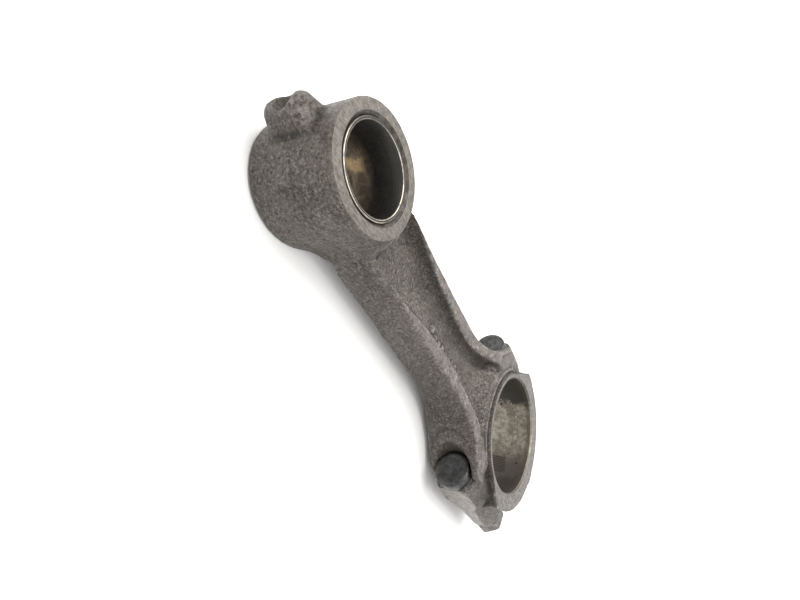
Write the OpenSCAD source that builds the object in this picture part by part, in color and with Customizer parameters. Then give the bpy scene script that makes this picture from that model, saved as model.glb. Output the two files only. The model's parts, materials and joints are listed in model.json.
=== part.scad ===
// Connecting rod with a straight-split big end, two through bolts and a bushed small end.
// Millimetres. Origin: big-end bore centre at mid width. +X runs to the small end, +Z along the bores.

/* [Overall] */
// Distance between the big-end and small-end bore centres
centre_dist = 200; // [170:1:240]

/* [Small end] */
// Outer diameter of the small-end boss
small_od = 54; // [50:1:62]
// Width of the small-end boss along its bore
small_w = 41; // [36:1:46]
// Outer diameter of the pressed-in bush
bush_od = 40; // [38:0.5:42]
// Inner diameter of the bush, for the gudgeon pin
bush_id = 37; // [34:0.5:38]
// How far the bush ends sit below the boss faces
bush_recess = 0.6; // [0.2:0.1:1.5]
// How far the tip pad stands out of the boss
tip_pad_h = 10; // [4:0.5:11]
// How far the tip pad and its oil hole are turned about the pin, in degrees
tip_turn = 5; // [0:1:8]
// Diameter of the oil hole drilled through the tip pad
oil_d = 4; // [2:0.5:5]

/* [Beam] */
// Half width of the I-section, across its flanges
beam_y = 19; // [17:0.5:22]
// Half thickness of the I-section, along the bores
beam_z = 11.5; // [10:0.5:13]
// Half thickness of the web between the flanges
web_z = 5.5; // [4:0.5:7]

/* [Big end] */
// Diameter of the big-end bore, without bearing shells
big_bore = 70; // [64:1:72]
// Width of the machined big-end faces
big_w = 33; // [30:1:36]
// Outer radius of the cap, from the bore centre
cap_r = 45.5; // [44:0.5:49]
// How far the bottom pad stands out of the cap
cap_pad_h = 13; // [5:0.5:15]

/* [Bolts] */
// Distance between the two bolt axes
bolt_pitch = 85; // [84:0.5:90]
// Nominal thread diameter of the bolts
bolt_d = 12; // [10:0.5:12]
// Diameter of the round bolt heads
head_d = 20; // [18:0.5:21]
// Height of the bolt heads
head_h = 7; // [5:0.5:8]
// Distance from the parting face to the seat under a bolt head
head_seat = 28; // [26:0.5:30]
// Distance from the parting face to the seat under a nut
nut_seat = 25; // [24:0.5:29]
// Nut size across flats
nut_af = 17; // [16:0.5:19]
// Height of the nuts
nut_h = 9; // [8:0.5:12]

// Radius of the bolt bosses on the rod
boss_r = 12.2; // [11.5:0.1:13]
// Radius of the bolt bosses on the cap
cap_boss_r = 10; // [9.8:0.1:12]
// Distance from a bolt axis to the machined flat on the outside of its boss
boss_flat = 9; // [8:0.5:10.5]

/* [Hidden] */
$fn = 96;
steel_dark = [0.33, 0.31, 0.29];
steel_mid = [0.45, 0.43, 0.40];
bronze = [0.55, 0.38, 0.20];
small_r = small_od / 2;
bore_r = big_bore / 2;
bolt_y = bolt_pitch / 2;
big_z = big_w / 2;
// shoulder faces sit a little below the machined ring round the bore
shoulder_z = big_z - 1;
ring_r = bore_r + 3.6;
shank_r = bolt_d / 2;
hole_r = shank_r + 0.05;
spot_r = head_d / 2 + 0.8;
bolt_end = nut_seat + nut_h + 2.5;
thread_r = bolt_d / 2 - 0.05;
chamfer = 1;
cap_pad_z = big_z - 3.2;
eps = 0.01;
// waist, where the shoulder flares begin, and the flare radius in plan
waist_x = 80;
flare_r = 57;
// fillet between the beam and the small-end boss
neck_r = 15;
neck_x = centre_dist - sqrt(pow(small_r + neck_r, 2) - pow(beam_y + neck_r, 2));
// half thickness between the bosses and the ring, and where it steps up to the shoulders
low_z = 11.8;
step_x = 18;
// how far each hexagon is turned on its bolt
nut_turn = 27;
// thickness flares of the beam towards each end
thick_r_big = 165;
thick_r_small = 330;
// where the small-end boss fillet begins in the side view
neck_side_x = 168;
neck_side_z = beam_z + thick_r_small - sqrt(pow(thick_r_small, 2) - pow(neck_side_x - waist_x - 50, 2));

module mirror_y() {
    children();
    mirror([0, 1, 0]) children();
}

module along_x(x, y) {
    translate([x, y, 0]) rotate([0, 90, 0]) children();
}

// plan outline of the beam and both shoulders
module rod_plan() {
    difference() {
        translate([0, -bolt_y - 17]) square([neck_x + 1, 2 * bolt_y + 34]);
        mirror_y() {
            translate([waist_x, beam_y + flare_r]) circle(flare_r, $fn = 180);
            translate([waist_x, beam_y]) square([centre_dist, 80]);
        }
    }
    mirror_y() difference() {
        polygon([[neck_x, 0], [centre_dist, 0], [neck_x, beam_y + neck_r]]);
        translate([neck_x, beam_y + neck_r]) circle(neck_r);
    }
}

// side outline: thin in the middle, thicker at both ends
module rod_side() {
    difference() {
        union() {
            // full thickness starts at the bolt seats; below them only the ring and the bosses stand higher
            polygon([
                [0, -low_z], [step_x, -low_z], [step_x + 6, -shoulder_z], [centre_dist, -shoulder_z],
                [centre_dist, shoulder_z], [step_x + 6, shoulder_z], [step_x, low_z], [0, low_z]
            ]);
            translate([neck_side_x, -small_w / 2 + 3]) square([30, small_w - 6]);
        }
        mirror_y() {
            translate([waist_x + 5, beam_z + thick_r_big]) circle(thick_r_big, $fn = 360);
            translate([waist_x + 5, beam_z]) square([45, 40]);
            intersection() {
                translate([waist_x + 50, beam_z + thick_r_small]) circle(thick_r_small, $fn = 720);
                square([neck_side_x, 40]);
            }
            translate([neck_side_x, neck_side_z + 18]) circle(18);
        }
    }
}

// plan of the channel on each face: narrow at the waist, wider at both ends
module channel_plan() {
    mirror_y() polygon([
        [centre_dist - 20, -eps], [centre_dist - 20, 17.1], [158, 16.5], [148, 15.8], [138, 14.3], [124, 12],
        [109, 10], [93, 9], [80, 9.2], [69, 11.5], [56, 15.5], [44, 20.5], [33, 24.5], [25, 25], [20, -eps]
    ]);
}

// the channel floor ramps up to the big-end ring and to the small-end boss
module channel_cut() {
    difference() {
        translate([0, 0, web_z]) linear_extrude(30) channel_plan();
        cylinder(h = 30, r1 = ring_r + 24, r2 = ring_r - 14);
        translate([centre_dist, 0, 0]) cylinder(h = 30, r1 = small_r + 10, r2 = small_r - 3);
    }
}

// round boss about a bolt axis, with a machined flat on its outer side
module bolt_boss(x0, x1, r, z_wide) {
    translate([x0, 0, 0]) intersection() {
        union() {
            along_x(0, bolt_y) cylinder(h = x1 - x0, r = r);
            translate([0, bolt_y - 20, -z_wide]) cube([x1 - x0, 20, 2 * z_wide]);
        }
        translate([-1, 0, -40]) cube([x1 - x0 + 2, bolt_y + boss_flat, 80]);
    }
}

module rod_blank() {
    intersection() {
        translate([0, 0, -30]) linear_extrude(60) rod_plan();
        rotate([90, 0, 0]) translate([0, 0, -80]) linear_extrude(160) rod_side();
        union() {
            translate([0, -bolt_y, -30]) cube([centre_dist, bolt_pitch, 60]);
            mirror_y() bolt_boss(0, 44, boss_r, 20);
        }
    }
    translate([0, 0, -big_z]) cylinder(h = big_w, r = ring_r);
    translate([centre_dist, 0, 0]) rotate_extrude() polygon([
        [0, -small_w / 2], [small_r - chamfer, -small_w / 2], [small_r, -small_w / 2 + chamfer],
        [small_r, small_w / 2 - chamfer], [small_r - chamfer, small_w / 2], [0, small_w / 2]
    ]);
    tip_pad();
}

// oval pad on the tip of the small end, tapered towards its top
module tip_pad() {
    top = small_r + tip_pad_h;
    translate([centre_dist, 0, 0]) rotate([0, 0, tip_turn]) intersection() {
        translate([0, 0, -20]) linear_extrude(40) polygon([
            [small_r - 4, -8], [small_r + 2, -7.5], [top - 1.5, -5.5], [top, -3.5],
            [top, 3.5], [top - 1.5, 5.5], [small_r + 2, 7.5], [small_r - 4, 8]
        ]);
        rotate([90, 0, 0]) translate([0, 0, -20]) linear_extrude(40) polygon([
            [small_r - 4, -13], [small_r + 2, -12], [top - 1.5, -10], [top, -8.5],
            [top, 8.5], [top - 1.5, 10], [small_r + 2, 12], [small_r - 4, 13]
        ]);
    }
}

// oil hole with a funnel, drilled from the tip pad to the bush seat
module oil_hole() {
    translate([centre_dist, 0, 0]) rotate([0, 0, tip_turn]) {
        along_x(bush_od / 2 - 1, 0) cylinder(h = 30, r = oil_d / 2);
        along_x(small_r + tip_pad_h - 4.5, 0) cylinder(h = 5, r1 = oil_d / 2, r2 = 4.4);
    }
}

module rod_body() {
    color(steel_dark) difference() {
        rod_blank();
        translate([-60, -80, -40]) cube([60, 160, 80]);
        bore_cut(0, bore_r, big_z, chamfer);
        bore_cut(centre_dist, bush_od / 2, small_w / 2, 1.8);
        oil_hole();
        channel_cut();
        mirror([0, 0, 1]) channel_cut();
        for (s = [-1, 1]) {
            along_x(-1, s * bolt_y) cylinder(h = 60, r = hole_r);
            along_x(head_seat, s * bolt_y) cylinder(h = 40, r = spot_r);
        }
    }
}

// a through bore along Z, chamfered at both faces
module bore_cut(x, r, z, c) {
    translate([x, 0, 0]) rotate_extrude() polygon([
        [0, -z - 1], [r + c + 1, -z - 1], [r, -z + c], [r, z - c], [r + c + 1, z + 1], [0, z + 1]
    ]);
}

// plan outline of the machined faces of the cap
module cap_plan() {
    circle(cap_r);
    mirror_y() translate([-9, 0]) square([9, bolt_y + 4]);
}

// balance pad under the cap
module cap_pad() {
    translate([0, 0, -cap_pad_z]) linear_extrude(2 * cap_pad_z) intersection() {
        polygon([
            [-bore_r - 2, -14], [-cap_r, -11], [-cap_r - cap_pad_h, -8],
            [-cap_r - cap_pad_h, 8], [-cap_r, 11], [-bore_r - 2, 14]
        ]);
        circle(cap_r + cap_pad_h + 1);
    }
}

module rod_cap() {
    color(steel_dark) difference() {
        union() {
            translate([0, 0, -big_z]) linear_extrude(big_w) cap_plan();
            mirror_y() bolt_boss(-nut_seat, 0, cap_boss_r, cap_boss_r - 1);
            cap_pad();
        }
        translate([0, -80, -40]) cube([80, 160, 80]);
        bore_cut(0, bore_r, big_z, chamfer);
        for (s = [-1, 1]) {
            along_x(-60, s * bolt_y) cylinder(h = 61, r = hole_r);
            along_x(-60, s * bolt_y) cylinder(h = 60 - nut_seat, r = 11.5);
        }
    }
}

module small_end_bush() {
    h = small_w / 2 - bush_recess;
    color(bronze) translate([centre_dist, 0, 0]) rotate_extrude() polygon([
        [bush_id / 2, -h + 0.4], [bush_id / 2 + 0.4, -h], [bush_od / 2 - 0.4, -h], [bush_od / 2, -h + 0.4],
        [bush_od / 2, h - 0.4], [bush_od / 2 - 0.4, h], [bush_id / 2 + 0.4, h], [bush_id / 2, h - 0.4]
    ]);
}

// head, fitted shank and threaded end, turned about X
module bolt(y) {
    color(steel_mid) along_x(0, y) rotate_extrude() polygon([
        [0, -bolt_end], [thread_r - 1.2, -bolt_end], [thread_r, -bolt_end + 1.2], [thread_r, -nut_seat + 6],
        [shank_r, -nut_seat + 7], [shank_r, head_seat], [head_d / 2, head_seat],
        [head_d / 2, head_seat + head_h - 0.8], [head_d / 2 - 0.8, head_seat + head_h], [0, head_seat + head_h]
    ]);
}

// hexagon with both faces chamfered
module nut(y) {
    corner_r = nut_af / 2 / cos(30);
    color(steel_mid) along_x(-nut_seat - nut_h, y) rotate([0, 0, nut_turn]) difference() {
        intersection() {
            cylinder(h = nut_h, r = corner_r, $fn = 6);
            rotate_extrude() polygon([
                [0, 0], [nut_af / 2 - 0.2, 0], [corner_r, 0.9], [corner_r, nut_h - 0.9],
                [nut_af / 2 - 0.2, nut_h], [0, nut_h]
            ]);
        }
        translate([0, 0, -1]) cylinder(h = nut_h + 2, r = bolt_d / 2);
    }
}

module bolt_left() bolt(bolt_y);
module bolt_right() bolt(-bolt_y);
module nut_left() nut(bolt_y);
module nut_right() nut(-bolt_y);

rod_body();
rod_cap();
small_end_bush();
bolt_left();
bolt_right();
nut_left();
nut_right();
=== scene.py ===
import json
import math
import bmesh
import bpy
import numpy as np
from mathutils import Matrix, Vector


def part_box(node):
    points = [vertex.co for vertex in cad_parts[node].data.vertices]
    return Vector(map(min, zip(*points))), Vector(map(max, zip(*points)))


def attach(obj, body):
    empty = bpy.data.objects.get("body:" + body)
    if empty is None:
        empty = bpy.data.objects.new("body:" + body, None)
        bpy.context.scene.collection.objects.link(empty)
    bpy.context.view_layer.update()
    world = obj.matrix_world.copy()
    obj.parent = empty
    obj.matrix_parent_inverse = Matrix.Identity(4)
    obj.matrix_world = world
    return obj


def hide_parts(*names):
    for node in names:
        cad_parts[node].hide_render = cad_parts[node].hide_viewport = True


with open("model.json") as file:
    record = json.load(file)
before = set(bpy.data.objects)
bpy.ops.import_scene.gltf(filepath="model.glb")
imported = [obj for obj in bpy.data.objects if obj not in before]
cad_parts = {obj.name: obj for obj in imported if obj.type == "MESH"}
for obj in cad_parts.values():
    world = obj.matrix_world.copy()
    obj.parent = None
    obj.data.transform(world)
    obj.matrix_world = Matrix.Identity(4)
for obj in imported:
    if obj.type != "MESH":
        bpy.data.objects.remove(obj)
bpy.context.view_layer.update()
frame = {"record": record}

MM = 0.001


# ---------------------------------------------------------------- sizes in mm, the frame's where it has them
def box_mm(node):
    """A CAD node's lowest and highest corners."""
    low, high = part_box(node)
    return np.array(low) / MM, np.array(high) / MM


def middle(node, axis):
    low, high = box_mm(node)
    return float(low[axis] + high[axis]) / 2


body_high = box_mm("rod_body")[1]
bush_low, bush_high = box_mm("small_end_bush")
bolt_low, bolt_high = box_mm("bolt_left")
nut_low, nut_high = box_mm("nut_left")
mounts = {m["name"]: m for m in frame["record"]["mounts"]}

# small end: pin axis, bush, boss, and the chamfer of the bush's seat
PIN_X = middle("small_end_bush", 0)
BUSH_R = (bush_high[0] - bush_low[0]) / 2
PIN_R = mounts["small_end_bore"]["dims"]["r_mm"]
BUSH_Z = bush_high[2]
SMALL_Z = body_high[2]
SMALL_R = 27.0
SEAT_CHAMFER = 1.8
# the tip pad and its oil hole are turned a little about the pin
TIP_TURN = math.radians(5)
TIP_TOP = body_high[0] - PIN_X - 0.3
OIL_R, FUNNEL_DEPTH = 2.0, 4.5
# big end: bore, machined faces, ring, and half thickness at the shoulders and beside the parting line
BORE_R = mounts["big_end_bore"]["dims"]["r_mm"]
BIG_Z = mounts["thrust_face_front"]["pos_m"][2] / MM
BORE_CHAMFER = 1.0
RING_R = BORE_R + 3.6
SHOULDER_Z = BIG_Z - 1
LOW_Z = 11.8
# bolts and their bosses, each with a flat on its outside
BOLT_Y = middle("bolt_left", 1)
FLAT_Y = body_high[1]
BOSS_R, CAP_BOSS_R = 12.2, 10.0
# the scooped wall that leads down to each bolt head's pocket
SCOOP_R, SCOOP_X = 10.6, 42
# what the forging has to spare where it is machined: the faces of each end, and the outer flats
SPARE_BIG, SPARE_SMALL, SPARE_FLAT = 0.9, 0.8, 0.4
HEAD_R = (bolt_high[2] - bolt_low[2]) / 2
HEAD_TOP = bolt_high[0]
HEAD_SEAT = HEAD_TOP - 7.0
POCKET_R = 10.8
SHANK_R, HOLE_R, THREAD_R = 6.0, 6.05, 5.95
THREAD_START, BOLT_END = -18.9, bolt_low[0]
# nuts, and the counterbore that they sit in
NUT_SEAT = nut_high[0]
NUT_END = nut_low[0]
NUT_SEAT_R = 11.5
NUT_FLAT = 8.5
NUT_TURN = math.radians(27)
# cap: outside radius, half width across its ears, and the end of its balance pad
CAP_R = 45.5
EAR_Y = 45.4
CAP_PAD_X = box_mm("rod_cap")[0][0]
# the beam: where it is narrowest, its half width and half thickness, the web's half thickness, and the
# radii by which it flares in plan, and thickens towards the big end and towards the small end
WAIST_X, BEAM_Y, BEAM_Z, WEB_Z = 80.0, 19.0, 11.5, 5.5
FLARE_R, THICK_R_BIG, THICK_R_SMALL = 57.0, 165.0, 330.0
# half width of the channel on each face, at places along the beam
CHANNEL = ((0, 25), (33, 24.5), (44, 20.5), (56, 15.5), (69, 11.5), (80, 9.4), (93, 9),
           (109, 10), (124, 12), (138, 14.4), (148, 15.8), (158, 16.6), (168, 17.0), (200, 17.2))
# small raised pips on the web of the front face: x, y and radius
PIPS = ((109.0, 3.0, 2.6), (103.2, 4.4, 1.6), (98.6, 4.6, 1.5), (94.2, 4.2, 1.7),
        (89.6, 3.9, 1.5), (85.2, 3.6, 1.7), (80.6, 3.5, 1.5), (76.2, 3.5, 1.7),
        (71.8, 3.4, 1.5), (67.6, 3.6, 1.6), (63.4, 4.2, 1.5), (59.4, 5.0, 1.6))
# places painted light, partly rubbed by handling and partly a painted highlight: x, y, z and reach
BRIGHT_SPOTS = ((44, -15, 12.5, 6.5), (PIN_X + 31.5, 7.5, 7.5, 6.0), (30, 33, 15.5, 7.0))
# places painted darker, partly oily dirt and partly painted shade along the channel and shoulders: x, y, z
# and reach
DARK_SPOTS = ((10, 43, 12, 17), (165, 3, 7, 11), (131, -9, 6, 13),
        (112, -7, 6, 13), (92, -6, 6, 12), (70, 2, 6, 9))
# every colour of the part is multiplied by this, and the light is that much stronger, so that the
# pale floor stays bright beside it
ALBEDO = 0.69
# material slots of the rod, the first four of which are the cap's too
SKIN, MACHINED, FLAT, BORE, SHADE_AND_OIL = range(5)
# how far a face may be from a plane and still count as on it
ON_PLANE = 0.02


# ---------------------------------------------------------------- solid shapes as distance fields
def smin(a, b, k):
    """The smaller of two distances, with the joint blended over about k mm."""
    h = np.clip(0.5 + 0.5 * (b - a) / k, 0, 1)
    return b * (1 - h) + a * h - k * h * (1 - h)


def smax(a, b, k):
    """The larger of two distances, with the joint blended over about k mm."""
    return -smin(-a, -b, k)


def ease(t):
    """A smooth step from 0 to 1 as t goes from 0 to 1."""
    t = np.clip(t, 0, 1)
    return t * t * (3 - 2 * t)


def smooth_table(points, span=7.0, step=0.5):
    """The points joined up and smoothed over span mm, given at every step."""
    x = np.arange(-60.0, 260.0, step)
    y = np.interp(x, *zip(*points))
    n = int(span / step)
    w = np.hanning(2 * n + 1)
    return x, np.convolve(np.pad(y, n, mode="edge"), w / w.sum(), mode="valid")


CHANNEL_X, CHANNEL_Y = smooth_table(CHANNEL)


def value_noise(p, size, seed):
    """Smooth noise from -1 to 1 at points p, with features about size mm across."""
    table = np.random.default_rng(seed).uniform(-1, 1, 4096)
    q = p / size + 100.0
    i = np.floor(q).astype(np.int64)
    f = q - i
    f = f * f * (3 - 2 * f)
    out = np.zeros(len(p))
    for dx in (0, 1):
        for dy in (0, 1):
            for dz in (0, 1):
                j = (i[:, 0] + dx) * 73856093 ^ (i[:, 1] + dy) * 19349663 ^ (i[:, 2] + dz) * 83492791
                w = (f[:, 0] if dx else 1 - f[:, 0]) * (f[:, 1] if dy else 1 - f[:, 1])
                out += table[j & 4095] * w * (f[:, 2] if dz else 1 - f[:, 2])
    return out


def forged_skin(p):
    """How far a forged surface stands from its drawing: shallow waves, scale and a few dents."""
    return (0.10 * value_noise(p, 9.0, 3) + 0.07 * value_noise(p, 3.6, 5)
            + 0.16 * np.clip(value_noise(p, 5.2, 8) - 0.62, 0, 1))


def flash_line(z, at=0.0, width=0.8, height=0.28):
    """How far the low ridge that the forging dies leave stands out."""
    return height * np.exp(-(((z - at) / width) ** 2))


def circle_rise(t, radius):
    """How far a circle has risen at t mm past its lowest point."""
    return radius - np.sqrt(radius ** 2 - t ** 2)


def beam_thickness(x):
    """Half thickness of the beam and the shoulders, which step down beside the parting line."""
    big = BEAM_Z + circle_rise(np.clip(WAIST_X + 5 - x, 0, 60), THICK_R_BIG)
    small = BEAM_Z + circle_rise(np.clip(x - WAIST_X - 50, 0, 100), THICK_R_SMALL)
    top = LOW_Z + (SHOULDER_Z - LOW_Z) * ease((x - 17) / 8)
    return np.where(x < WAIST_X + 20, np.minimum(big, top), small)


def tip_axes(x, y):
    """Distances from the pin axis along and across the tip pad's own axis."""
    c, s = math.cos(TIP_TURN), math.sin(TIP_TURN)
    return (x - PIN_X) * c + y * s, y * c - (x - PIN_X) * s


def add_pips(body, p):
    """Raises the pips in the rod's distances."""
    x, y, z = p.T
    for px, py, pr in PIPS:
        near = np.abs(x - px) < 8
        high = 1.7 * (z[near] - WEB_Z + 0.3)
        lump = np.sqrt((x[near] - px) ** 2 + (y[near] - py) ** 2 + high ** 2) - pr
        body[near] = smin(body[near], lump, 0.8)


def rod_forging(p):
    """Distance from the rod's forged surface, before it is machined."""
    x, y, z = p[:, 0], np.abs(p[:, 1]), p[:, 2]
    az = np.abs(z)
    draft = 0.055 * az
    # beam and the flares into the shoulders, seen in plan
    arc = FLARE_R - np.hypot(x - WAIST_X, y - BEAM_Y - FLARE_R)
    flash = flash_line(z) * (0.5 + 0.5 * np.clip((x - 100) / 25, 0, 1))
    plan = np.where(x < WAIST_X, arc, y - BEAM_Y) + draft - 0.35 - 0.6 * flash
    plan = smax(plan, y - (BOLT_Y + 0.5), 3.0)
    # a dirt groove round the ring, and a shallow valley between the ring and the outer ridge
    r_big = np.hypot(x, y)
    groove = 1.3 * np.exp(-(((r_big - RING_R - 0.5) / 0.8) ** 2)) * ease((x - 14) / 6)
    valley = 0.9 * ease((r_big - 40.4) / 2) * ease((-arc - 0.6) / 2.4)
    valley *= ease((47 - x) / 6) * ease((x - 20) / 4)
    side = az - beam_thickness(x) + groove + valley
    beam = smax(plan, side, 1.5)
    # round bolt bosses under the shoulders
    boss = np.hypot(y - BOLT_Y, z) - BOSS_R + 1.9 * ease((10 - x) / 10)
    boss = smax(np.maximum(boss, x - WAIST_X + 20), arc, 2.2)
    boss = smax(boss, y - FLAT_Y - SPARE_FLAT, 0.8)
    body = smin(np.maximum(beam, x - PIN_X), boss, 3.0)
    # ring round the big-end bore, left proud for machining
    ring = smax(r_big - RING_R + 0.9 - 0.10 * (BIG_Z - az), az - BIG_Z - SPARE_BIG, 1.0)
    body = smin(body, ring, 1.6)
    # the machined face widens into the ears at the parting line
    ear = smax(smax(y - EAR_Y + 0.72 * x, az - BIG_Z - 0.6, 1.8), x - 14, 2.0)
    body = smin(body, ear, 2.2)
    # channel on each face, with a floor that ramps up at both ends
    r_small = np.hypot(x - PIN_X, y)
    floor = smax(smax(0.79 * (61 - r_big), WEB_Z, 6.0), 2.3 * (SMALL_R + 10 - r_small), 5.0)
    width = np.interp(x, CHANNEL_X, CHANNEL_Y) + 0.16 * (az - WEB_Z)
    channel = smax(y - width, floor - az, 4.5)
    body = smax(body, -channel, 1.3)
    add_pips(body, p)
    # scooped seat for each bolt head, its wall leaning back into the flare
    scoop = np.hypot(y - BOLT_Y, z) - SCOOP_R
    scoop = smax(np.maximum(scoop, x - SCOOP_X), HEAD_SEAT + 0.4 - x, 0.5)
    body = smax(body, -scoop, 3.4)
    # small-end boss, with the flange faces blending into its side
    small = r_small - SMALL_R + 0.012 * az
    small -= flash_line(z, 0.0, 0.65, 0.34) + flash_line(z, -0.58 * SMALL_Z, 0.6, 0.26)
    small = smax(small, az - SMALL_Z - SPARE_SMALL, 1.6)
    body = smin(body, small, 6.0)
    # oval pad on the tip, with an oil hole and its funnel
    out, across = tip_axes(x, p[:, 1])
    up = out - SMALL_R
    pad = smax(np.abs(across) - 7.2 + 0.30 * up, az - 10.9 + 0.14 * up, 5.0)
    pad = smax(pad, out - TIP_TOP + 0.1, 3.4)
    body = smin(body, np.where(out > 20, pad, 50.0), 1.5)
    drill = np.hypot(across, z) - OIL_R - 0.7 * np.maximum(out - TIP_TOP + FUNNEL_DEPTH, 0)
    drill = np.maximum(drill, BUSH_R - 2 - out)
    body = smax(body, -drill, 1.6)
    return np.maximum(body, -3 - x)


def cap_forging(p):
    """Distance from the cap's forged surface, before it is machined."""
    x, y, z = p[:, 0], np.abs(p[:, 1]), p[:, 2]
    az = np.abs(z)
    r = np.hypot(x, y)
    crown = 0.04 * (BIG_Z - az)
    ring = smax(r - CAP_R - crown - flash_line(z), az - BIG_Z - SPARE_BIG, 1.6)
    ear = smax(smax(y - EAR_Y - 0.2, -x - 8.5, 6.0), az - BIG_Z - 0.6, 1.8)
    body = smin(ring, ear, 4.0)
    boss = np.hypot(y - BOLT_Y, z) - CAP_BOSS_R + 0.5 * ease(-x / 20)
    web = smax(smax(az - 9.0, y - BOLT_Y, 1.0), 20 - y, 1.0)
    boss = smin(boss, web, 2.0)
    boss = smax(smax(boss, -x + NUT_SEAT - 0.3, 2.4), y - FLAT_Y - SPARE_FLAT, 0.8)
    body = smin(body, boss, 4.0)
    up = x - CAP_PAD_X
    pad = smax(y - 8.0 - 0.23 * up, az - (BIG_Z - 3.4) - 0.03 * up, 3.0)
    pad = smax(smax(pad, CAP_PAD_X + 0.3 - x, 3.0), x + 30, 1.0)
    body = smin(body, pad, 5.0)
    return np.maximum(body, x - 3)


def surface(shape_field, shift, low, high, step):
    """A quad mesh of a forged shape by surface nets, each vertex then moved onto the surface.

    shift moves the noise of the forged skin, so that two shapes don't have the same skin."""
    def field(p):
        f = shape_field(p)
        near = np.abs(f) < 3
        f[near] += forged_skin(p[near] + shift)
        return f

    axes = [np.arange(a - 2 * step, b + 3 * step, step) for a, b in zip(low, high)]
    shape = tuple(len(a) for a in axes)
    grid = np.stack(np.meshgrid(*axes, indexing="ij"), -1).reshape(-1, 3)
    f = np.concatenate([field(part) for part in np.array_split(grid, 24)]).reshape(shape)
    total = np.zeros(tuple(n - 1 for n in shape) + (3,))
    count = np.zeros(tuple(n - 1 for n in shape))

    def corner_values(d):
        return f[tuple(slice(d[k], d[k] + f.shape[k] - 1) for k in range(3))]

    # the mean of the places where the surface crosses a cell's edges is that cell's vertex
    corners = [(i, j, k) for i in (0, 1) for j in (0, 1) for k in (0, 1)]
    for a in corners:
        for axis in range(3):
            if a[axis]:
                continue
            b = list(a)
            b[axis] = 1
            fa, fb = corner_values(a), corner_values(b)
            cross = (fa < 0) != (fb < 0)
            t = np.where(cross, fa / np.where(cross, fa - fb, 1), 0)
            for k in range(3):
                total[..., k] += np.where(cross, a[k] + (t if k == axis else 0), 0)
            count += cross
    active = count > 0
    index = np.full(active.shape, -1)
    index[active] = np.arange(active.sum())
    where = np.argwhere(active)
    vertices = np.array([a[0] for a in axes]) + step * (where + total[active] / count[active][:, None])
    # the four cells round each grid edge that the surface crosses make a face
    faces = []
    for axis in range(3):
        u, v = (axis + 1) % 3, (axis + 2) % 3
        lo = [slice(1, -1)] * 3
        hi = [slice(1, -1)] * 3
        lo[axis], hi[axis] = slice(0, -1), slice(1, None)
        fa, fb = f[tuple(lo)], f[tuple(hi)]
        outward_hit, inward_hit = (fa < 0) & (fb >= 0), (fa >= 0) & (fb < 0)
        for flip, hit in ((False, outward_hit), (True, inward_hit)):
            at = np.argwhere(hit)
            base = at.copy()
            base[:, u] += 1
            base[:, v] += 1
            quad = []
            for du, dv in ((0, 0), (1, 0), (1, 1), (0, 1)):
                c = base.copy()
                c[:, u] += du - 1
                c[:, v] += dv - 1
                quad.append(index[c[:, 0], c[:, 1], c[:, 2]])
            quad = np.stack(quad, 1)
            faces.append(quad[:, ::-1] if flip else quad)
    faces = np.concatenate(faces)
    # a few Newton steps, each no longer than half a cell, with slopes measured over h mm
    h = 0.05
    for _ in range(4):
        d = field(vertices)
        g = np.stack([(field(vertices + h * e) - field(vertices - h * e)) / (2 * h)
                      for e in np.eye(3)], 1)
        move = -d[:, None] * g / np.maximum((g ** 2).sum(1), 0.05)[:, None]
        far = np.linalg.norm(move, axis=1)
        vertices = vertices + move * np.minimum(1, 0.5 * step / np.maximum(far, 1e-9))[:, None]
    return vertices, faces


# ---------------------------------------------------------------- mesh helpers
def new_object(name, vertices, faces):
    """A mesh object from points in mm."""
    mesh = bpy.data.meshes.new(name)
    mesh.from_pydata((np.asarray(vertices) * MM).tolist(), [], [list(map(int, f)) for f in faces])
    mesh.update()
    obj = bpy.data.objects.new(name, mesh)
    bpy.context.scene.collection.objects.link(obj)
    return obj


def lathe(name, profile, origin, axis, segments):
    """A closed solid from (radius, height) points turned about the Z or X axis through origin.

    Points on the axis have radius 0."""
    rings, vertices = [], []
    for r, h in profile:
        if r < 1e-6:
            rings.append([len(vertices)])
            vertices.append((0, 0, h))
        else:
            rings.append(list(range(len(vertices), len(vertices) + segments)))
            a = np.linspace(0, 2 * np.pi, segments, endpoint=False)
            vertices += list(zip(r * np.cos(a), r * np.sin(a), np.full(segments, h)))
    faces = []
    pairs = list(zip(rings[:-1], rings[1:]))
    if profile[0][0] > 1e-6:
        pairs.append((rings[-1], rings[0]))
    for a, b in pairs:
        for i in range(segments):
            j = (i + 1) % segments
            if len(a) == 1:
                faces.append((a[0], b[j], b[i]))
            elif len(b) == 1:
                faces.append((a[i], a[j], b[0]))
            else:
                faces.append((a[i], a[j], b[j], b[i]))
    obj = new_object(name, vertices, faces)
    turn = Matrix.Identity(4)
    if axis == "X":
        turn = Matrix.Rotation(math.pi / 2, 4, "Y")
    obj.data.transform(Matrix.Translation(Vector(origin) * MM) @ turn)
    outward(obj)
    return obj


def outward(obj):
    """Turns every face to point out of a closed solid."""
    bm = bmesh.new()
    bm.from_mesh(obj.data)
    bmesh.ops.recalc_face_normals(bm, faces=bm.faces)
    bm.to_mesh(obj.data)
    bm.free()


def block(low, high):
    v = [(x, y, z) for x in (low[0], high[0]) for y in (low[1], high[1]) for z in (low[2], high[2])]
    obj = new_object("cut", v, [(0, 1, 3, 2), (4, 6, 7, 5), (0, 4, 5, 1),
                                (2, 3, 7, 6), (0, 2, 6, 4), (1, 5, 7, 3)])
    outward(obj)
    return obj


def past(side, limit, far):
    """The span from limit out to far on the plus side, or its mirror image on the minus side."""
    return (limit, far) if side > 0 else (-far, -limit)


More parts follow.
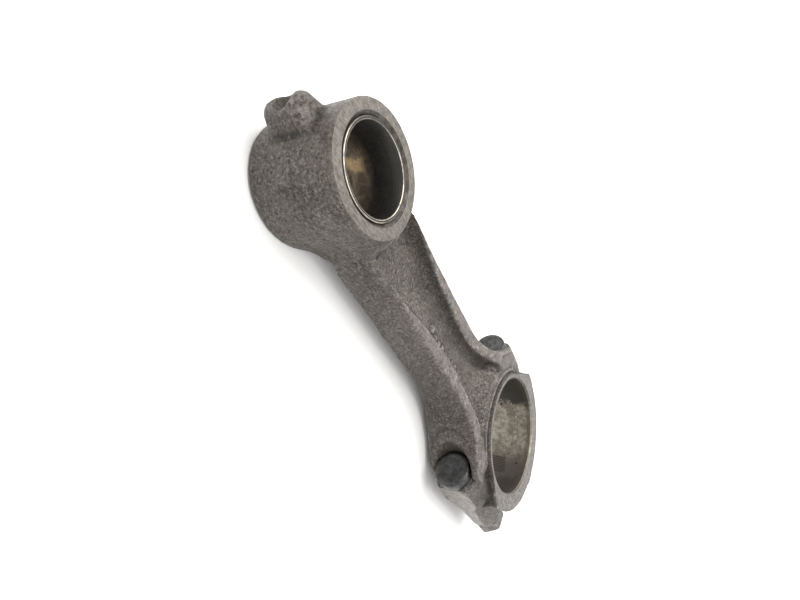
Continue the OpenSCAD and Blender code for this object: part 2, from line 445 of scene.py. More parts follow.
def boolean(obj, other, how="DIFFERENCE"):
    """Cuts other out of obj, or keeps what they share, and deletes other."""
    for mesh in (obj.data, other.data):
        mesh.materials.clear()
    m = obj.modifiers.new("cut", "BOOLEAN")
    m.operation = how
    m.object = other
    m.solver = "MANIFOLD"
    graph = bpy.context.evaluated_depsgraph_get()
    mesh = bpy.data.meshes.new_from_object(obj.evaluated_get(graph))
    obj.modifiers.clear()
    old = obj.data
    name = old.name
    obj.data = mesh
    bpy.data.meshes.remove(old)
    mesh.name = name
    mesh.materials.clear()
    bpy.data.objects.remove(other, do_unlink=True)


def cut_off_at_parting(obj, keep, gap=0.02, depth=0.32):
    """Cuts a forging at x = 0, and keeps the side that keep is the sign of.

    The cut edge is drawn in by depth, which leaves a fine line where the two halves meet."""
    bm = bmesh.new()
    bm.from_mesh(obj.data)

    def cut_across(x, direction, **drop):
        geom = bm.verts[:] + bm.edges[:] + bm.faces[:]
        bmesh.ops.bisect_plane(bm, geom=geom, dist=1e-7, plane_co=(keep * x * MM, 0, 0),
                               plane_no=(direction, 0, 0), **drop)

    cut_across(0.9, 1)
    cut_across(0.45, 1)
    cut_across(gap, keep, clear_inner=True)
    edge = [v for v in bm.verts if abs(v.co.x) < (gap + 0.01) * MM]
    bm.normal_update()
    for v in edge:
        n = Vector((0, v.normal.y, v.normal.z)).normalized()
        v.co -= n * depth * MM
    rim = [e for e in bm.edges if e.is_boundary]
    bmesh.ops.holes_fill(bm, edges=rim, sides=0)
    bmesh.ops.recalc_face_normals(bm, faces=bm.faces)
    bm.to_mesh(obj.data)
    bm.free()


def finish_mesh(obj, angle=32):
    """Smooth shading, apart from edges that turn by more than angle degrees."""
    mesh = obj.data
    mesh.polygons.foreach_set("use_smooth", [True] * len(mesh.polygons))
    mesh.set_sharp_from_angle(angle=math.radians(angle))
    mesh.update()


def bore_cutter(x, r, z, chamfer, segments):
    """What cuts a bore along Z, with a chamfer at both faces."""
    wide = r + chamfer + 2
    profile = [(0, -z - 2), (wide, -z - 2), (r, -z + chamfer), (r, z - chamfer), (wide, z + 2), (0, z + 2)]
    return lathe("cut", profile, (x, 0, 0), "Z", segments)


def stepped_hole(side, profile):
    """What cuts a stepped hole along one bolt's axis."""
    return lathe("cut", profile, (0, side * BOLT_Y, 0), "X", 96)


# ---------------------------------------------------------------- materials
class Graph:
    """A small helper that writes a node material from nested calls."""

    def __init__(self, name, albedo=ALBEDO):
        self.albedo = albedo
        self.material = bpy.data.materials.new(name)
        self.material.use_nodes = True
        self.nodes = self.material.node_tree.nodes
        self.links = self.material.node_tree.links
        self.nodes.clear()
        coords = self.nodes.new("ShaderNodeTexCoord")
        scale = self.nodes.new("ShaderNodeVectorMath")
        scale.operation = "SCALE"
        scale.inputs["Scale"].default_value = 1 / MM
        self.links.new(coords.outputs["Object"], scale.inputs[0])
        self.mm = scale.outputs[0]
        split = self.nodes.new("ShaderNodeSeparateXYZ")
        self.links.new(self.mm, split.inputs[0])
        self.x, self.y, self.z = split.outputs

    def put(self, socket, value):
        if isinstance(value, bpy.types.NodeSocket):
            self.links.new(value, socket)
        elif isinstance(value, tuple) and len(value) == 3 and socket.type == "RGBA":
            socket.default_value = (*(self.albedo * c for c in value), 1)
        else:
            socket.default_value = value

    def math(self, how, a, b=0.0):
        n = self.nodes.new("ShaderNodeMath")
        n.operation = how
        for socket, value in zip(n.inputs, (a, b)):
            self.put(socket, value)
        return n.outputs[0]

    def add(self, a, b):
        return self.math("ADD", a, b)

    def sub(self, a, b):
        return self.math("SUBTRACT", a, b)

    def mul(self, a, b):
        return self.math("MULTIPLY", a, b)

    def abs(self, a):
        return self.math("ABSOLUTE", a)

    def radius(self, a, b):
        return self.math("SQRT", self.add(self.mul(a, a), self.mul(b, b)))

    def sway(self, noise, amount):
        """A noise turned into a shift either way, about a fifth of amount each way."""
        return self.mul(self.sub(noise, 0.5), amount)

    def noise(self, size, detail=3.0, rough=0.55, warp=0.0, stretch=None, seed=0.0):
        """Noise from about 0.3 to 0.7 with features about size mm across."""
        n = self.nodes.new("ShaderNodeTexNoise")
        n.noise_dimensions = "4D"
        vector = self.mm
        if stretch:
            m = self.nodes.new("ShaderNodeMapping")
            m.inputs["Scale"].default_value = stretch
            self.links.new(vector, m.inputs["Vector"])
            vector = m.outputs[0]
        self.links.new(vector, n.inputs["Vector"])
        n.inputs["W"].default_value = seed
        n.inputs["Scale"].default_value = 1 / size
        n.inputs["Detail"].default_value = detail
        n.inputs["Roughness"].default_value = rough
        n.inputs["Distortion"].default_value = warp
        return n.outputs[0]

    def step(self, value, low, high, to_low=0.0, to_high=1.0):
        """Goes smoothly from to_low to to_high as value goes from low to high."""
        n = self.nodes.new("ShaderNodeMapRange")
        n.interpolation_type = "SMOOTHSTEP"
        names = ("Value", "From Min", "From Max", "To Min", "To Max")
        for name, v in zip(names, (value, low, high, to_low, to_high)):
            self.put(n.inputs[name], v)
        return n.outputs["Result"]

    def mix(self, factor, a, b):
        n = self.nodes.new("ShaderNodeMix")
        n.data_type = "RGBA"
        for name, v in (("Factor", factor), ("A", a), ("B", b)):
            self.put(n.inputs[name], v)
        return n.outputs["Result"]

    def attribute(self, name):
        n = self.nodes.new("ShaderNodeAttribute")
        n.attribute_name = name
        return n.outputs["Fac"]

    def round_edges(self, radius):
        """The normal, turned over radius mm where it would turn sharply at an edge."""
        bevel = self.nodes.new("ShaderNodeBevel")
        bevel.samples = 4
        bevel.inputs["Radius"].default_value = radius * MM
        return bevel.outputs[0]

    def edge_highlight_mask(self, rounded):
        """Zero on open faces, rising to about one at an edge, where the materials paint a highlight. The
        parting line is left out.
        """
        geometry = self.nodes.new("ShaderNodeNewGeometry")
        dot = self.nodes.new("ShaderNodeVectorMath")
        dot.operation = "DOT_PRODUCT"
        self.links.new(rounded, dot.inputs[0])
        self.links.new(geometry.outputs["Normal"], dot.inputs[1])
        off_parting = self.step(self.abs(self.x), 0.4, 1.2)
        return self.mul(self.step(dot.outputs["Value"], 0.99, 0.86), off_parting)

    def bump(self, height, distance, normal=None):
        n = self.nodes.new("ShaderNodeBump")
        n.inputs["Distance"].default_value = distance * MM
        self.put(n.inputs["Height"], height)
        if normal is not None:
            self.links.new(normal, n.inputs["Normal"])
        return n.outputs[0]

    def finish(self, colour, roughness, metallic, normal):
        shader = self.nodes.new("ShaderNodeBsdfPrincipled")
        self.put(shader.inputs["Base Color"], colour)
        self.put(shader.inputs["Roughness"], roughness)
        self.put(shader.inputs["Metallic"], metallic)
        self.links.new(normal, shader.inputs["Normal"])
        out = self.nodes.new("ShaderNodeOutputMaterial")
        self.links.new(shader.outputs[0], out.inputs[0])
        return self.material


def forged_material():
    """Dark oiled forging: blotches, scale and grain, painted shade and oily grime in the hollows, and ridges
    painted lighter as rubbed wear and painted highlight.
    """
    g = Graph("forged_skin")
    broad = g.noise(26, 2.0, 0.5, seed=1.0)
    patch = g.noise(7, 4.0, 0.6, 0.4, seed=2.0)
    grain = g.noise(1.1, 5.0, 0.78, seed=3.0)
    grit = g.noise(0.5, 2.0, 0.6, seed=4.0)
    chips = g.noise(2.1, 5.0, 0.8, 0.4, seed=5.0)
    wear_and_highlight = g.attribute("wear_and_highlight")
    crease_shade_and_dirt = g.attribute("crease_shade_and_dirt")
    colour = g.mix(g.step(broad, 0.35, 0.65), (0.112, 0.095, 0.081), (0.158, 0.139, 0.120))
    colour = g.mix(g.step(patch, 0.44, 0.68, 0.0, 0.5), colour, (0.066, 0.056, 0.047))
    blot = g.noise(13, 5.0, 0.65, 0.8, seed=6.0)
    colour = g.mix(g.step(blot, 0.53, 0.66, 0.0, 0.6), colour, (0.040, 0.035, 0.030))
    colour = g.mix(g.step(grain, 0.51, 0.62, 0.0, 1.0), colour, (0.300, 0.268, 0.235))
    colour = g.mix(g.step(grain, 0.49, 0.37, 0.0, 1.0), colour, (0.014, 0.012, 0.010))
    # painted shade and oily grime darken the hollows
    crease_shade_and_dirt_mask = g.mul(crease_shade_and_dirt, g.step(patch, 0.62, 0.40, 0.45, 0.9))
    colour = g.mix(crease_shade_and_dirt_mask, colour, (0.016, 0.014, 0.012))
    # ridges and rubbed spots painted lighter, as wear and as painted highlight
    rub_and_highlight = g.mul(wear_and_highlight, g.step(chips, 0.44, 0.54, 0.12, 1.0))
    colour = g.mix(rub_and_highlight, colour, (0.315, 0.276, 0.254))
    colour = g.mix(g.mul(wear_and_highlight, g.step(chips, 0.54, 0.64, 0.0, 0.8)), colour, (0.60, 0.555, 0.52))
    rough = g.sub(g.step(patch, 0.35, 0.65, 0.52, 0.36), g.mul(rub_and_highlight, 0.06))
    height = g.add(g.mul(grain, 1.6), g.mul(grit, 0.5))
    height = g.add(height, g.mul(patch, 1.2))
    height = g.sub(height, g.mul(wear_and_highlight, g.step(chips, 0.52, 0.40, 0.0, 0.6)))
    return g.finish(colour, rough, g.step(rub_and_highlight, 0.0, 1.0, 0.35, 0.7), g.bump(height, 0.6))


def recess_shade_and_oil_material():
    """Dark colour in the bush seat, the hole drilled through the tip pad and the bolt holes: oily grime, and
    painted shade in these recesses.
    """
    g = Graph("recess_shade_and_oil")
    stain = g.noise(3.0, 4.0, 0.6, 0.6, seed=71.0)
    # dark colour: oily grime and painted shade in the recesses
    colour = g.mix(g.step(stain, 0.38, 0.66), (0.034, 0.029, 0.025), (0.120, 0.100, 0.078))
    return g.finish(colour, g.step(stain, 0.35, 0.65, 0.42, 0.28), 0.3, g.bump(stain, 0.3))


def machined_material(name, light, dark, streak, seed):
    """A turned or milled face: fine tool marks, stains, and painted highlights along its edges."""
    g = Graph(name)
    rounded = g.round_edges(0.5)
    edge = g.edge_highlight_mask(rounded)
    stain = g.noise(2.6, 5.0, 0.7, 0.3, seed=seed)
    fine = g.noise(0.7, 4.0, 0.7, seed=seed + 1)
    marks = g.noise(1.0, 3.0, 0.6, 0.0, streak, seed=seed + 2)
    colour = g.mix(g.step(stain, 0.28, 0.76), light, dark)
    colour = g.mix(g.step(marks, 0.46, 0.60, 0.0, 0.6), colour, tuple(0.42 * c for c in dark))
    colour = g.mix(g.step(fine, 0.52, 0.66, 0.0, 0.5), colour, tuple(0.35 * c for c in dark))
    # painted highlight along the edges
    colour = g.mix(g.mul(edge, 0.7), colour, tuple(1.5 * c for c in light))
    rough = g.step(stain, 0.35, 0.65, 0.34, 0.48)
    height = g.add(marks, g.mul(fine, 0.5))
    return g.finish(colour, rough, 0.65, g.bump(height, 0.12, rounded))


def angle_about(g, cx, cy):
    """Angle about the Z line through (cx, cy), in degrees from 0 to 360."""
    dx = g.sub(g.x, cx)
    dy = g.sub(g.y, cy)
    a = g.mul(g.math("ARCTAN2", dy, dx), 180 / math.pi)
    return g.math("MODULO", g.add(a, 360.0), 360.0)


def big_bore_material():
    """Worn bore: pale and mottled, with dark bands, a painted dark reflection past about 245 degrees,
    turning rings, scores, a pit, and painted highlights on its edges.
    """
    g = Graph("big_end_bore")
    rounded = g.round_edges(0.45)
    edge = g.edge_highlight_mask(rounded)
    angle = angle_about(g, 0.0, 0.0)
    wobble = g.sway(g.noise(7, 3.0, 0.6, seed=21.0), 26.0)
    a = g.add(angle, wobble)
    stain = g.noise(5, 5.0, 0.6, 0.8, seed=22.0)
    fine = g.noise(0.7, 3.0, 0.6, seed=23.0)
    turning = g.noise(1.0, 2.0, 0.5, 0.0, (0.03, 0.03, 2.6), seed=24.0)
    mottle = g.noise(2.4, 5.0, 0.7, 0.5, seed=25.0)
    a = g.add(a, g.sway(mottle, 34.0))
    colour = g.mix(g.step(stain, 0.34, 0.62), (0.66, 0.595, 0.50), (0.34, 0.302, 0.242))
    colour = g.mix(g.step(mottle, 0.48, 0.64, 0.0, 0.75), colour, (0.19, 0.169, 0.138))
    # darker as the angle falls below about 198 and 164 degrees, and a painted dark reflection past about 245
    # degrees
    colour = g.mix(g.step(a, 198.0, 172.0), colour, (0.160, 0.138, 0.120))
    colour = g.mix(g.step(a, 164.0, 150.0), colour, (0.095, 0.078, 0.076))
    colour = g.mix(g.step(a, 240.0, 247.0), colour, (0.078, 0.077, 0.066))
    band = g.step(g.add(g.z, g.mul(wobble, 0.08)), 12.2, 13.6)
    colour = g.mix(g.mul(band, 0.55), colour, (0.15, 0.135, 0.095))
    colour = g.mix(g.step(fine, 0.52, 0.68, 0.0, 0.45), colour, (0.07, 0.06, 0.05))
    colour = g.mix(g.step(turning, 0.52, 0.66, 0.0, 0.3), colour, (0.09, 0.08, 0.07))
    # a group of score marks running along the wall, and one small pit
    comb = g.abs(g.sub(g.math("FRACT", g.math("DIVIDE", angle, 2.1)), 0.5))
    marks = g.step(comb, 0.30, 0.16)
    marks = g.mul(marks, g.mul(g.step(angle, 160.0, 161.0), g.step(angle, 181.0, 180.0)))
    reach = g.add(g.z, g.mul(g.sub(angle, 170.0), 0.15))
    marks = g.mul(marks, g.mul(g.step(reach, -9.0, -8.3), g.step(reach, 2.2, 1.4)))
    colour = g.mix(g.mul(marks, 0.95), colour, (0.02, 0.017, 0.015))
    pit = g.add(g.abs(g.sub(angle, 175.0)), g.abs(g.sub(g.z, 8.6)))
    colour = g.mix(g.step(pit, 1.5, 0.9), colour, (0.02, 0.018, 0.016))
    # painted highlight along the edges
    colour = g.mix(g.mul(edge, 0.85), colour, (0.80, 0.765, 0.71))
    height = g.sub(g.mul(turning, 0.5), g.mul(marks, 0.6))
    return g.finish(colour, g.step(stain, 0.35, 0.65, 0.36, 0.52), 0.55, g.bump(height, 0.08, rounded))


def bush_material():
    """Worn bronze: darker near the top, one painted golden highlight streak, a painted dark reflection at
    low angles, and a dark ring between two painted highlight rims.
    """
    g = Graph("bush_bronze_worn")
    rounded = g.round_edges(0.35)
    angle = angle_about(g, PIN_X, 0.0)
    wobble = g.sway(g.noise(8, 3.0, 0.6, seed=31.0), 40.0)
    a = g.add(angle, wobble)
    stain = g.noise(5, 4.0, 0.6, 0.8, seed=32.0)
    turning = g.noise(1.0, 2.0, 0.5, 0.0, (0.03, 0.03, 2.2), seed=33.0)
    colour = g.mix(g.step(stain, 0.38, 0.62), (0.40, 0.315, 0.235), (0.20, 0.160, 0.122))
    slant = g.add(a, g.mul(g.z, 1.4))
    # a painted golden highlight streak, slanting with z
    gold_highlight = g.mul(g.step(slant, 236.0, 246.0), g.step(slant, 262.0, 252.0))
    gold_highlight = g.mul(gold_highlight, g.step(g.z, 3.0, -1.0))
    colour = g.mix(gold_highlight, colour, (0.98, 0.70, 0.40))
    # darker towards the top, from z 2 to 6.5 mm
    high_z_darkening = g.add(g.z, g.mul(wobble, 0.14))
    colour = g.mix(g.step(high_z_darkening, 2.0, 6.5, 0.0, 0.95), colour, (0.085, 0.085, 0.081))
    # a painted dark reflection where the angle falls below about 190 degrees
    colour = g.mix(g.step(a, 196.0, 176.0, 0.0, 0.9), colour, (0.075, 0.072, 0.067))
    colour = g.mix(g.step(turning, 0.50, 0.66, 0.0, 0.35), colour, (0.10, 0.075, 0.05))
    r = g.radius(g.sub(g.x, PIN_X), g.y)
    rim = g.step(g.abs(g.z), BUSH_Z - 0.29, BUSH_Z - 0.24)
    off = g.abs(g.sub(r, (PIN_R + BUSH_R) / 2))
    colour = g.mix(g.mul(rim, g.step(off, 0.40, 0.30)), colour, (0.045, 0.041, 0.037))
    # painted highlights along both edges of the rim
    rim_highlight = g.mul(rim, g.step(off, 0.30, 0.42))
    patchy = g.mul(g.step(stain, 0.66, 0.40, 0.3, 1.0), g.step(a, 330.0, 200.0, 0.35, 1.0))
    colour = g.mix(g.mul(rim_highlight, patchy), colour, (0.78, 0.70, 0.58))
    return g.finish(colour, g.step(stain, 0.35, 0.65, 0.26, 0.40), 0.75, g.bump(turning, 0.05, rounded))


def fastener_material(name, base, light, rim, seed, axis_y):
    """Dark oiled steel, lighter where it is rubbed, with turning rings about its own axis and painted
    highlights on its edges.
    """
    g = Graph(name)
    rounded = g.round_edges(0.5)
    edge = g.edge_highlight_mask(rounded)
    stain = g.noise(3.2, 4.0, 0.6, 0.6, seed=seed)
    fine = g.noise(0.5, 3.0, 0.6, seed=seed + 1)
    r = g.radius(g.sub(g.y, axis_y), g.z)
    rings = g.math("SINE", g.mul(r, 9.0))
    colour = g.mix(g.step(stain, 0.36, 0.64), base, tuple(0.45 * c for c in base))
    colour = g.mix(g.step(fine, 0.54, 0.70, 0.0, 0.5), colour, light)
    # painted highlight on the edges, in the rim colour
    colour = g.mix(g.mul(edge, g.step(stain, 0.60, 0.42, 0.35, 1.0)), colour, rim)
    height = g.add(g.mul(rings, 0.12), g.add(fine, stain))
    return g.finish(colour, g.step(stain, 0.35, 0.65, 0.32, 0.46), 0.75, g.bump(height, 0.12, rounded))


# ---------------------------------------------------------------- camera, floor and light
def build_stage():
    camera = bpy.data.objects.new("camera", bpy.data.cameras.new("camera"))
    bpy.context.scene.collection.objects.link(camera)
    # where the camera stands, and the directions to its right, down and ahead of it
    place = Vector((0.28037, 0.14072, 0.12781))
    right = Vector((-0.41511, -0.34708, 0.84096))
    down = Vector((-0.66685, 0.74488, -0.02174))
    ahead = Vector((-0.61887, -0.56982, -0.54066))
    turn = Matrix((right, -down, -ahead)).transposed().to_4x4()
    camera.matrix_world = Matrix.Translation(place) @ turn
    camera.data.sensor_width = 36
    camera.data.lens = 22.5
    camera.data.clip_start = 0.01
    bpy.context.scene.camera = camera

    # the rod rests on the edge of its small-end boss and on the foot of its cap
    touch_small, touch_big = PIN_X - SMALL_R, -CAP_R
    slope = (SMALL_Z - BIG_Z) / (touch_small - touch_big)
    size, gap = 20000, 0.05
    corners = ((-size, -size), (size, -size), (size, size), (-size, size))
    points = [(x, y, -SMALL_Z - gap - slope * (x - touch_small)) for x, y in corners]
    floor = new_object("floor", points, [(0, 1, 2, 3)])
    g = Graph("floor_white", 1.0)
    colour = g.mix(g.noise(160, 2.0, 0.5, seed=41.0), (0.90, 0.895, 0.88), (0.93, 0.925, 0.915))
    relief = g.bump(g.noise(1.4, 2.0, 0.5, seed=42.0), 0.02)
    floor.data.materials.append(g.finish(colour, 0.6, 0.0, relief))

    # a studio that is brighter on one side than on the other
    world = bpy.data.worlds.new("studio")
    bpy.context.scene.world = world
    world.use_nodes = True
    nodes, links = world.node_tree.nodes, world.node_tree.links
    back = nodes["Background"]
    back.inputs["Strength"].default_value = 1.5
    coords = nodes.new("ShaderNodeTexCoord")
    dot = nodes.new("ShaderNodeVectorMath")
    dot.operation = "DOT_PRODUCT"
    dot.inputs[1].default_value = (-0.40, -0.50, 0.77)
    tone = nodes.new("ShaderNodeMapRange")
    for name, value in (("From Min", -0.35), ("From Max", 0.5), ("To Min", 0.52)):
        tone.inputs[name].default_value = value
    links.new(coords.outputs["Generated"], dot.inputs[0])
    links.new(dot.outputs["Value"], tone.inputs["Value"])
    links.new(tone.outputs[0], back.inputs["Color"])

    lamp = bpy.data.lights.new("key_light", "SUN")
    lamp.energy = 2.8
    lamp.angle = math.radians(70)
    lamp.color = (1, 0.985, 0.96)
    sun = bpy.data.objects.new("key_light", lamp)
    bpy.context.scene.collection.objects.link(sun)
    sun.rotation_euler = Vector((-0.2, 0.45, -1.0)).to_track_quat("-Z", "Y").to_euler()
    bpy.context.scene.view_settings.view_transform = "Standard"


# ---------------------------------------------------------------- pieces
MESH_STEP = 0.8


def from_point(p, x, y, z):
    """Distance of each point of p from (x, y, z)."""
    return np.sqrt((p[:, 0] - x) ** 2 + (p[:, 1] - y) ** 2 + (p[:, 2] - z) ** 2)


def mark_wear_highlight_and_shade(obj, shape_field):
    """Stores how far each point stands on a ridge, painted lighter as rubbed wear and painted highlight, and
    how deep it lies in a crease, painted dark as painted shade and oily grime, for the material.
    """
    mesh = obj.data
    p = np.empty(len(mesh.vertices) * 3)
    mesh.vertices.foreach_get("co", p)
    p = p.reshape(-1, 3) / MM
    # how sharply the surface bends, felt over h mm: above zero on a ridge, below it in a hollow
    h = 1.3
    around = sum(shape_field(p + s * h * e) for e in np.eye(3) for s in (-1, 1))
    bend = around - 6 * shape_field(p)
    # ridges are painted lighter, as rubbed wear and as painted highlight
    wear_and_highlight = np.clip((bend - 0.3) / 0.9, 0, 1)
    # the flat land of each flange is rubbed too, but the rim round the bolt heads is not
    x, y, z = p[:, 0], np.abs(p[:, 1]), np.abs(p[:, 2])
    from_bolt = np.hypot(y - BOLT_Y, z)
    if shape_field is rod_forging:
        land = (np.abs(z - beam_thickness(x)) < 0.5) & (x > 20) & (x < 150)
        land &= (np.hypot(x, y) > RING_R + 4) & (from_bolt > 17)
        inner = np.clip((y - np.interp(x, CHANNEL_X, CHANNEL_Y) - 1.2) / 1.5, 0, 1)
        wear_and_highlight = np.maximum(wear_and_highlight, 0.62 * land * inner)
        wear_and_highlight *= np.clip((from_bolt - 13) / 3, 0.15, 1) * (1 - 0.55 * np.clip((x - 135) / 20, 0, 1))
        # each pip has a crest painted light, as rubbed wear and painted highlight, and a ring of painted
        # shade and oily dirt at its foot
        front = p[:, 2] > 0
        for px, py, pr in PIPS:
            off = np.hypot(x - px, p[:, 1] - py)
            crest = front * np.clip((pr * 0.95 - off) / 0.4, 0, 1)
            foot = front * np.clip((pr + 1.4 - off) / 0.8, 0, 1)
            wear_and_highlight = np.maximum(wear_and_highlight * (1 - 0.8 * foot), crest)
            bend = np.where(front & (off > pr + 0.1) & (off < pr + 1.0), -0.8, bend)
    for *place, reach in BRIGHT_SPOTS:
        wear_and_highlight = np.maximum(wear_and_highlight, np.clip(1.6 - 1.6 * from_point(p, *place) / reach, 0, 1))
    # hollows are painted dark, as painted shade and oily grime, only faintly in the scoop above each bolt
    # head
    crease_shade_and_dirt = np.clip((-bend - 0.08) / 0.45, 0, 1)
    crease_shade_and_dirt[(from_bolt < 15) & (x > HEAD_SEAT + 3)] *= 0.15
    for *place, reach in DARK_SPOTS:
        crease_shade_and_dirt = np.maximum(crease_shade_and_dirt, 0.5 * np.clip(1.5 - 1.5 * from_point(p, *place) / reach, 0, 1))
    for name, value in (("wear_and_highlight", wear_and_highlight), ("crease_shade_and_dirt", crease_shade_and_dirt)):
        layer = mesh.attributes.new(name, "FLOAT", "POINT")
        layer.data.foreach_set("value", value.astype(np.float32))


def paint_faces(obj, materials, rule):
    """Gives each face the material slot that rule returns for its centre and normal."""
    mesh = obj.data
    mesh.materials.clear()
    for m in materials:
        mesh.materials.append(m)
    n = len(mesh.polygons)
    centre, normal = np.empty(n * 3), np.empty(n * 3)
    mesh.polygons.foreach_get("center", centre)
    mesh.polygons.foreach_get("normal", normal)
    slots = rule(centre.reshape(-1, 3) / MM, normal.reshape(-1, 3))
    mesh.polygons.foreach_set("material_index", slots.astype(np.int32))


def machined_slots(c, n):
    """The slots that the rod and the cap share: side faces, outer flats, parting face and bore."""
    slot = np.full(len(c), SKIN)
    high, wide = np.abs(c[:, 2]), np.abs(c[:, 1])
    to_x, to_y, to_z = (np.abs(n[:, k]) > 0.99 for k in range(3))
    slot[to_z & (np.abs(high - BIG_Z) < ON_PLANE)] = MACHINED
    slot[to_z & (np.abs(high - SMALL_Z) < ON_PLANE)] = MACHINED
    slot[to_y & (np.abs(wide - FLAT_Y) < ON_PLANE)] = FLAT
    slot[to_x & (np.abs(c[:, 0]) < 0.3)] = FLAT
    slot[(np.hypot(c[:, 0], c[:, 1]) < BORE_R + BORE_CHAMFER + 0.05) & (np.abs(n[:, 2]) < 0.9)] = BORE
    return slot


def from_bolt_axis(c):
    return np.hypot(np.abs(c[:, 1]) - BOLT_Y, c[:, 2])


def build_rod(materials):
    low = (-3, -FLAT_Y - 1, -SMALL_Z - 1)
    high = (body_high[0], FLAT_Y + 1, SMALL_Z + 1)
    rod = new_object("rod_forging", *surface(rod_forging, 0.0, low, high, MESH_STEP))
    cut_off_at_parting(rod, 1)
    hole = [(0, -5), (HOLE_R, -5), (HOLE_R, HEAD_SEAT),
            (POCKET_R, HEAD_SEAT + 0.01), (POCKET_R, 60), (0, 60)]
    for side in (1, -1):
        z0, z1 = past(side, BIG_Z, 40)
        boolean(rod, block((-5, -70, z0), (RING_R + 1.5, 70, z1)))
        z0, z1 = past(side, SMALL_Z, 40)
        boolean(rod, block((150, -70, z0), (260, 70, z1)))
        y0, y1 = past(side, FLAT_Y, 90)
        boolean(rod, block((-5, y0, -40), (60, y1, 40)))
        boolean(rod, stepped_hole(side, hole))
    boolean(rod, bore_cutter(0, BORE_R, BIG_Z, BORE_CHAMFER, 192))
    boolean(rod, bore_cutter(PIN_X, BUSH_R, SMALL_Z, SEAT_CHAMFER, 160))
    mark_wear_highlight_and_shade(rod, rod_forging)

    def rule(c, n):
        slot = machined_slots(c, n)
        r_small = np.hypot(c[:, 0] - PIN_X, c[:, 1])
        slot[(r_small < BUSH_R + SEAT_CHAMFER + 0.05) & (np.abs(n[:, 2]) <= 0.99)] = SHADE_AND_OIL
        out, across = tip_axes(c[:, 0], c[:, 1])
        slot[(np.hypot(across, c[:, 2]) < 4.6) & (out > BUSH_R) & (out < TIP_TOP - 0.8)] = SHADE_AND_OIL
        bolt = from_bolt_axis(c)
        slot[(bolt < HOLE_R + 0.05) & (c[:, 0] < HEAD_SEAT + 1) & (slot == SKIN)] = SHADE_AND_OIL
        slot[(bolt < POCKET_R + 0.05) & (np.abs(c[:, 0] - HEAD_SEAT) < 0.1) & (n[:, 0] > 0.99)] = FLAT
        return slot

    paint_faces(rod, materials, rule)
    finish_mesh(rod)
    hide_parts("rod_body")
    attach(rod, "rod")


def build_cap(materials):
    low = (CAP_PAD_X, -FLAT_Y - 1, -BIG_Z - 1)
    high = (3, FLAT_Y + 1, BIG_Z + 1)
    cap = new_object("cap_forging", *surface(cap_forging, 57.0, low, high, MESH_STEP))
    cut_off_at_parting(cap, -1)
    hole = [(0, -70), (NUT_SEAT_R, -70), (NUT_SEAT_R, NUT_SEAT),
            (HOLE_R, NUT_SEAT + 0.01), (HOLE_R, 5), (0, 5)]
    for side in (1, -1):
        z0, z1 = past(side, BIG_Z, 40)
        boolean(cap, block((-70, -70, z0), (5, 70, z1)))
        y0, y1 = past(side, FLAT_Y, 90)
        boolean(cap, block((-70, y0, -40), (5, y1, 40)))
        boolean(cap, stepped_hole(side, hole))
    boolean(cap, bore_cutter(0, BORE_R, BIG_Z, BORE_CHAMFER, 192))
    mark_wear_highlight_and_shade(cap, cap_forging)

    def rule(c, n):
        slot = machined_slots(c, n)
        at_seat = (c[:, 0] < NUT_SEAT + 0.1) & (c[:, 0] > NUT_END)
        slot[(from_bolt_axis(c) < NUT_SEAT_R + 0.05) & (slot == SKIN) & at_seat] = FLAT
        return slot

    paint_faces(cap, materials, rule)
    finish_mesh(cap)
    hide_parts("rod_cap")
    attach(cap, "cap")


def build_bush(material, chamfer=0.3):
    low, high, inner, outer = -BUSH_Z, BUSH_Z, PIN_R, BUSH_R
    profile = [(inner, low + chamfer), (inner + chamfer, low),
               (outer - chamfer, low), (outer, low + chamfer),
               (outer, high - chamfer), (outer - chamfer, high),
               (inner + chamfer, high), (inner, high - chamfer)]
    bush = lathe("bush_sleeve", profile, (PIN_X, 0, 0), "Z", 160)
    bush.data.materials.append(material)
    finish_mesh(bush, 50)
    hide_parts("small_end_bush")
    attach(bush, "rod")


def threaded_rod(x0, x1, y, radius, pitch=1.25, depth=0.62, around=48):
    """Vertices and faces of a right-hand thread from x0 down to x1, closed at both ends.

    The thread fades in over the first 1.2 mm, and the last 1.2 mm is chamfered."""
    rows = int((x0 - x1) / (pitch / 8)) + 1
    a = np.arange(around) * 2 * np.pi / around
    vertices = []
    for i in range(rows):
        x = x0 + (x1 - x0) * i / (rows - 1)
        phase = np.mod((x0 - x) / pitch - a / (2 * np.pi), 1.0)
        tooth = np.clip(1.25 - np.abs(phase - 0.5) * 3.1, 0, 1)
        run = min(1.0, (x0 - x) / 1.2)
        end = max(0.0, 1.2 - (x - x1))
        r = np.minimum(radius - depth * (1 - tooth) * run, radius - end)
        vertices += list(zip(np.full(around, x), y + r * np.cos(a), r * np.sin(a)))
    faces = []
    for i in range(0, (rows - 1) * around, around):
        for j in range(around):
            k = (j + 1) % around
            faces.append((i + j, i + k, i + around + k, i + around + j))
    faces.append(tuple(range(around)))
    faces.append(tuple((rows - 1) * around + j for j in reversed(range(around))))
    return vertices, faces


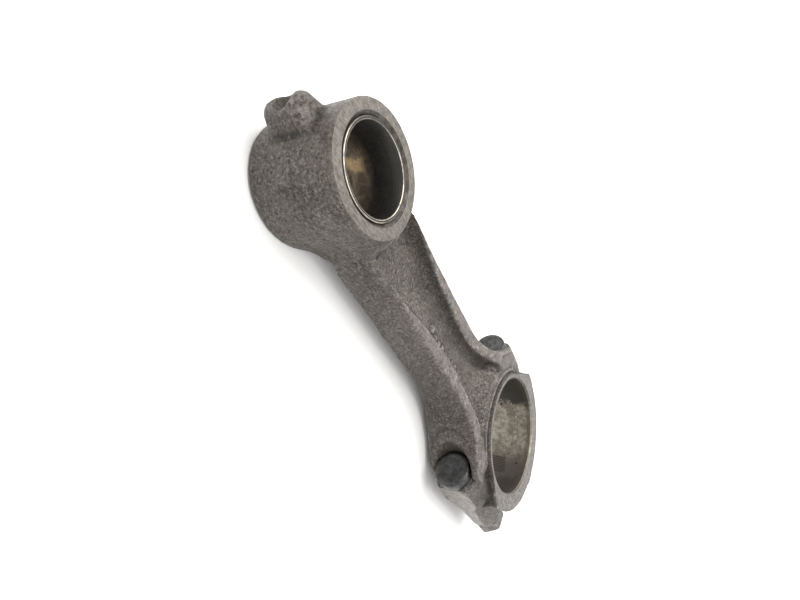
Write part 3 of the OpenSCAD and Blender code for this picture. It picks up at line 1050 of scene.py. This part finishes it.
def build_bolt(side, y, material):
    seat, top, r = HEAD_SEAT, HEAD_TOP, HEAD_R
    dish = [(0, top - 0.35), (r * 0.62, top - 0.35), (r * 0.70, top - 0.12), (r * 0.80, top),
            (r - 1.1, top), (r - 0.55, top - 0.22), (r - 0.16, top - 0.62), (r, top - 1.1)]
    shank = [(r, seat + 0.5), (r - 0.4, seat), (SHANK_R + 0.9, seat), (SHANK_R, seat - 0.9),
             (SHANK_R, THREAD_START), (0, THREAD_START)]
    bolt = lathe("bolt_%s_shank" % side, dish + shank, (0, y, 0), "X", 128)
    thread = new_object("thread", *threaded_rod(THREAD_START, BOLT_END, y, THREAD_R))
    outward(thread)
    bm = bmesh.new()
    bm.from_mesh(bolt.data)
    bm.from_mesh(thread.data)
    bm.to_mesh(bolt.data)
    bm.free()
    bpy.data.objects.remove(thread, do_unlink=True)
    bolt.name = "bolt_%s_steel" % side
    bolt.data.materials.append(material)
    finish_mesh(bolt, 40)
    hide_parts("bolt_" + side)
    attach(bolt, "rod")


def build_nut(side, y, material):
    corner = NUT_FLAT / math.cos(math.pi / 6)
    # the hexagon's corners point along the same directions as in the frame
    turns = [math.pi / 6 + k * math.pi / 3 + NUT_TURN for k in range(6)]
    v = [(x, y + corner * math.cos(a), corner * math.sin(a)) for x in (NUT_SEAT, NUT_END) for a in turns]
    faces = [tuple(range(6)), tuple(range(11, 5, -1))]
    faces += [(k, k + 6, (k + 1) % 6 + 6, (k + 1) % 6) for k in range(6)]
    nut = new_object("nut_%s_steel" % side, v, faces)
    outward(nut)
    # both faces are chamfered down to the flats, and the hole opens out at both ends
    flat, wide, end, seat = NUT_FLAT - 0.2, corner + 0.02, NUT_END - 0.001, NUT_SEAT + 0.001
    cone = [(0, end), (flat, end), (NUT_FLAT + 0.5, NUT_END + 0.28), (wide, NUT_END + 0.95),
            (wide, NUT_SEAT - 0.9), (flat, seat), (0, seat)]
    boolean(nut, lathe("cone", cone, (0, y, 0), "X", 120), "INTERSECT")
    mouth = 8.2
    hole = [(0, NUT_END - 2), (mouth, NUT_END - 1.2), (SHANK_R, NUT_END + 0.9),
            (SHANK_R, NUT_SEAT - 0.9), (mouth, NUT_SEAT + 1.2), (0, NUT_SEAT + 2)]
    boolean(nut, lathe("hole", hole, (0, y, 0), "X", 96))
    nut.data.materials.append(material)
    finish_mesh(nut, 25)
    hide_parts("nut_" + side)
    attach(nut, side + "_nut")


build_stage()
skin = forged_material()
face = machined_material("machined_face", light=(0.27, 0.243, 0.213), dark=(0.145, 0.129, 0.112),
                         streak=(0.35, 1.4, 0.5), seed=11.0)
flat = machined_material("machined_flat", light=(0.37, 0.343, 0.308), dark=(0.19, 0.172, 0.151),
                         streak=(1.2, 0.2, 0.4), seed=14.0)
bore = big_bore_material()
build_rod([skin, face, flat, bore, recess_shade_and_oil_material()])
build_cap([skin, face, flat, bore])
build_bush(bush_material())
# base, rubbed and painted edge-highlight colours of the bolts and of the nuts
BOLT_COLOURS = ((0.098, 0.098, 0.099), (0.30, 0.295, 0.29), (0.74, 0.72, 0.69))
NUT_COLOURS = ((0.205, 0.192, 0.180), (0.55, 0.512, 0.474), (0.62, 0.585, 0.545))
for side, y in (("left", BOLT_Y), ("right", -BOLT_Y)):
    build_bolt(side, y, fastener_material("bolt_%s_oiled" % side, *BOLT_COLOURS, 51.0 + y, y))
    build_nut(side, y, fastener_material("nut_%s_worn" % side, *NUT_COLOURS, 61.0 + y, y))
